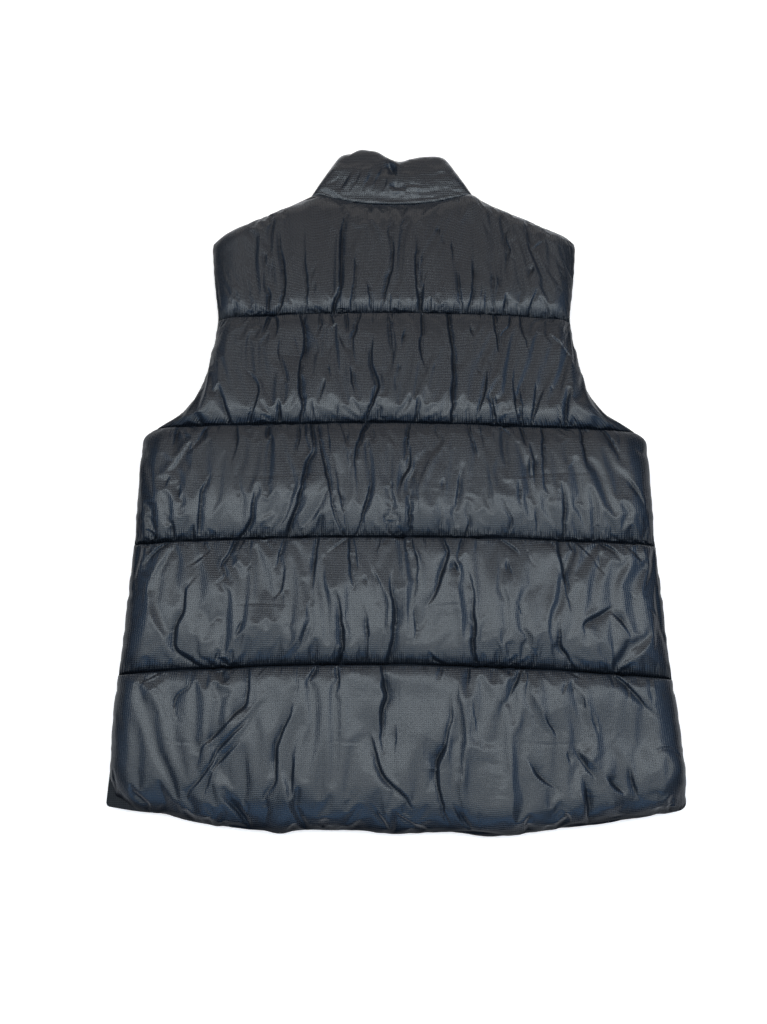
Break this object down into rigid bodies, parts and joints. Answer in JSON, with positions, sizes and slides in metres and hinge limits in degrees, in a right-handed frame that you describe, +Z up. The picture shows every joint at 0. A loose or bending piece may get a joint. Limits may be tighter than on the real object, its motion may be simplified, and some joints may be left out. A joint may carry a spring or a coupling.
{
  "type": "puffer vest",
  "caption": "Sleeveless padded vest with a stand collar and cross-quilted back, zipped up and lying flat face down.",
  "frame": {"origin": "on the surface that the vest lies on, under the middle of its bounding box", "axes": "+X to the right seen from above with the back of the vest up, +Y towards the collar, +Z up"},
  "size_m": [0.6133, 0.8138, 0.0413],
  "materials": {
    "shell": "satin ripstop nylon, padded",
    "zip_tape": "matt woven tape with moulded teeth",
    "zip_hardware": "semi-gloss"
  },
  "bodies": {
    "vest": {"back_yoke": "shell", "back_baffle_2": "shell", "back_baffle_3": "shell", "back_baffle_4": "shell", "back_hem_baffle": "shell", "collar": "shell", "front_left": "shell", "front_right": "shell", "zip_tape_left": "zip_tape", "zip_tape_right": "zip_tape", "zip_stop": "zip_hardware", "zip_slider": "zip_hardware"},
    "pull_tab": {"zip_pull": "zip_hardware"}
  },
  "joints": [
    {"name": "pull_tab_swing", "type": "hinge", "parent": "vest", "child": "pull_tab", "pos_m": [0, 0.3245, 0.0086], "axis": [1, 0, 0], "range_deg": [-20, 160]}
  ]
}
